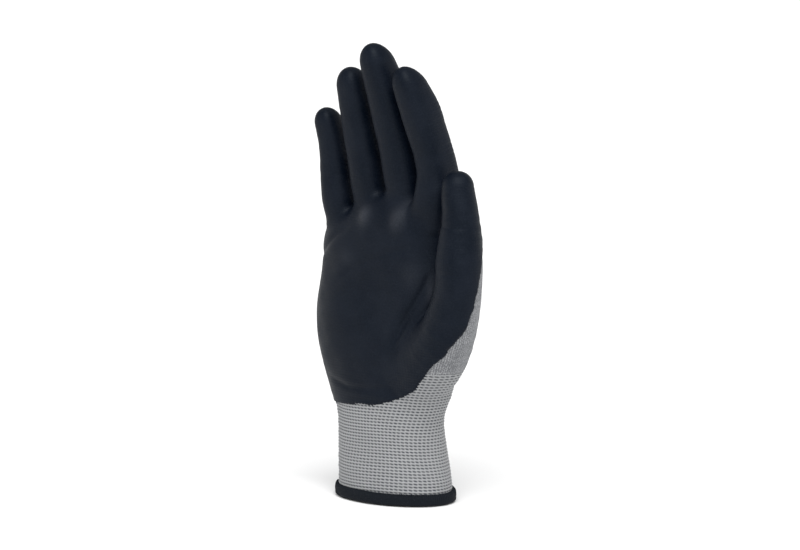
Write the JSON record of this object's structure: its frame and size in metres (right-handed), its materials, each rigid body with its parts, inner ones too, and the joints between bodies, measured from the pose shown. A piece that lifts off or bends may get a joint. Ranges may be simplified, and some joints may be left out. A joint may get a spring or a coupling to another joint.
{
  "type": "cut resistant glove",
  "caption": "Right-hand knitted cut-resistant work glove with a dipped palm, elastic knit cuff and overlocked hem; the stalls and wrist bend.",
  "frame": {"origin": "centre of the wrist opening, level with the bottom of the hem", "axes": "+Z from the wrist opening to the fingertips, the palm faces -Y, the thumb is on the +X side"},
  "size_m": [0.1186, 0.0578, 0.2508],
  "materials": {
    "coating": "matte foamed nitrile, nearly black with a blue cast",
    "liner_knit": "fine jersey of salt-and-pepper grey cut-resistant yarn",
    "cuff_rib": "light grey knit with rows of short dark dashes",
    "elastic_yarn": "covered elastic yarn, off-white",
    "hem_thread": "close overlock stitches of black polyester thread"
  },
  "bodies": {
    "cuff": {"cuff_knit": "cuff_rib", "cuff_elastic": "elastic_yarn", "hem_overlock": "hem_thread"},
    "palm": {"liner_palm": "liner_knit", "coat_palm": "coating"},
    "index_base": {"liner_index_base": "liner_knit", "coat_index_base": "coating"},
    "index_middle": {"liner_index_middle": "liner_knit", "coat_index_middle": "coating"},
    "index_tip": {"liner_index_tip": "liner_knit", "coat_index_tip": "coating"},
    "middle_base": {"liner_middle_base": "liner_knit", "coat_middle_base": "coating"},
    "middle_middle": {"liner_middle_middle": "liner_knit", "coat_middle_middle": "coating"},
    "middle_tip": {"liner_middle_tip": "liner_knit", "coat_middle_tip": "coating"},
    "ring_base": {"liner_ring_base": "liner_knit", "coat_ring_base": "coating"},
    "ring_middle": {"liner_ring_middle": "liner_knit", "coat_ring_middle": "coating"},
    "ring_tip": {"liner_ring_tip": "liner_knit", "coat_ring_tip": "coating"},
    "little_base": {"liner_little_base": "liner_knit", "coat_little_base": "coating"},
    "little_middle": {"liner_little_middle": "liner_knit", "coat_little_middle": "coating"},
    "little_tip": {"liner_little_tip": "liner_knit", "coat_little_tip": "coating"},
    "thumb_root": {"liner_thumb_root": "liner_knit", "coat_thumb_root": "coating"},
    "thumb_base": {"liner_thumb_base": "liner_knit", "coat_thumb_base": "coating"},
    "thumb_tip": {"liner_thumb_tip": "liner_knit", "coat_thumb_tip": "coating"}
  },
  "joints": [
    {"name": "wrist_flex", "type": "hinge", "parent": "cuff", "child": "palm", "pos_m": [-0.003, -0.0005, 0.046], "axis": [1, 0, 0], "range_deg": [-40, 40], "stiffness_Nm_per_rad": 0.3},
    {"name": "index_base_flex", "type": "hinge", "parent": "palm", "child": "index_base", "pos_m": [0.03192, -0.00906, 0.16993], "axis": [0.9994, 0, 0.0349], "range_deg": [-10, 65], "stiffness_Nm_per_rad": 0.02},
    {"name": "index_middle_flex", "type": "hinge", "parent": "index_base", "child": "index_middle", "pos_m": [0.03115, -0.01157, 0.19203], "axis": [0.9994, 0, 0.0349], "range_deg": [-5, 70], "stiffness_Nm_per_rad": 0.012},
    {"name": "index_tip_flex", "type": "hinge", "parent": "index_middle", "child": "index_tip", "pos_m": [0.03034, -0.01653, 0.21534], "axis": [0.9994, 0, 0.0349], "range_deg": [-5, 45], "stiffness_Nm_per_rad": 0.008},
    {"name": "middle_base_flex", "type": "hinge", "parent": "palm", "child": "middle_base", "pos_m": [0.00927, -0.00912, 0.17283], "axis": [0.9997, 0, 0.0262], "range_deg": [-10, 65], "stiffness_Nm_per_rad": 0.02},
    {"name": "middle_middle_flex", "type": "hinge", "parent": "middle_base", "child": "middle_middle", "pos_m": [0.00862, -0.01192, 0.19744], "axis": [0.9997, 0, 0.0262], "range_deg": [-5, 70], "stiffness_Nm_per_rad": 0.012},
    {"name": "middle_tip_flex", "type": "hinge", "parent": "middle_middle", "child": "middle_tip", "pos_m": [0.00795, -0.01744, 0.2234], "axis": [0.9997, 0, 0.0262], "range_deg": [-5, 45], "stiffness_Nm_per_rad": 0.008},
    {"name": "ring_base_flex", "type": "hinge", "parent": "palm", "child": "ring_base", "pos_m": [-0.01181, -0.00853, 0.16762], "axis": [0.9992, 0, 0.0401], "range_deg": [-10, 65], "stiffness_Nm_per_rad": 0.02},
    {"name": "ring_middle_flex", "type": "hinge", "parent": "ring_base", "child": "ring_middle", "pos_m": [-0.01266, -0.01096, 0.18889], "axis": [0.9992, 0, 0.0401], "range_deg": [-5, 70], "stiffness_Nm_per_rad": 0.012},
    {"name": "ring_tip_flex", "type": "hinge", "parent": "ring_middle", "child": "ring_tip", "pos_m": [-0.01356, -0.01573, 0.21132], "axis": [0.9992, 0, 0.0401], "range_deg": [-5, 45], "stiffness_Nm_per_rad": 0.008},
    {"name": "little_base_flex", "type": "hinge", "parent": "palm", "child": "little_base", "pos_m": [-0.03193, -0.0074, 0.15972], "axis": [0.9972, 0, 0.075], "range_deg": [-10, 65], "stiffness_Nm_per_rad": 0.02},
    {"name": "little_middle_flex", "type": "hinge", "parent": "little_base", "child": "little_middle", "pos_m": [-0.03313, -0.00922, 0.17567], "axis": [0.9972, 0, 0.075], "range_deg": [-5, 70], "stiffness_Nm_per_rad": 0.012},
    {"name": "little_tip_flex", "type": "hinge", "parent": "little_middle", "child": "little_tip", "pos_m": [-0.0344, -0.01281, 0.1925], "axis": [0.9972, 0, 0.075], "range_deg": [-5, 45], "stiffness_Nm_per_rad": 0.008},
    {"name": "thumb_spread", "type": "hinge", "parent": "palm", "child": "thumb_root", "pos_m": [0.05493, -0.0138, 0.11796], "axis": [0, 1, 0], "range_deg": [0, 30], "stiffness_Nm_per_rad": 0.03},
    {"name": "thumb_base_flex", "type": "hinge", "parent": "thumb_root", "child": "thumb_base", "pos_m": [0.05533, -0.0138, 0.12998], "axis": [-0.7996, 0.6, 0.0265], "range_deg": [-45, 5], "stiffness_Nm_per_rad": 0.02},
    {"name": "thumb_tip_flex", "type": "hinge", "parent": "thumb_base", "child": "thumb_tip", "pos_m": [0.05616, -0.0138, 0.15502], "axis": [-0.7996, 0.6, 0.0265], "range_deg": [-60, 8], "stiffness_Nm_per_rad": 0.008}
  ]
}
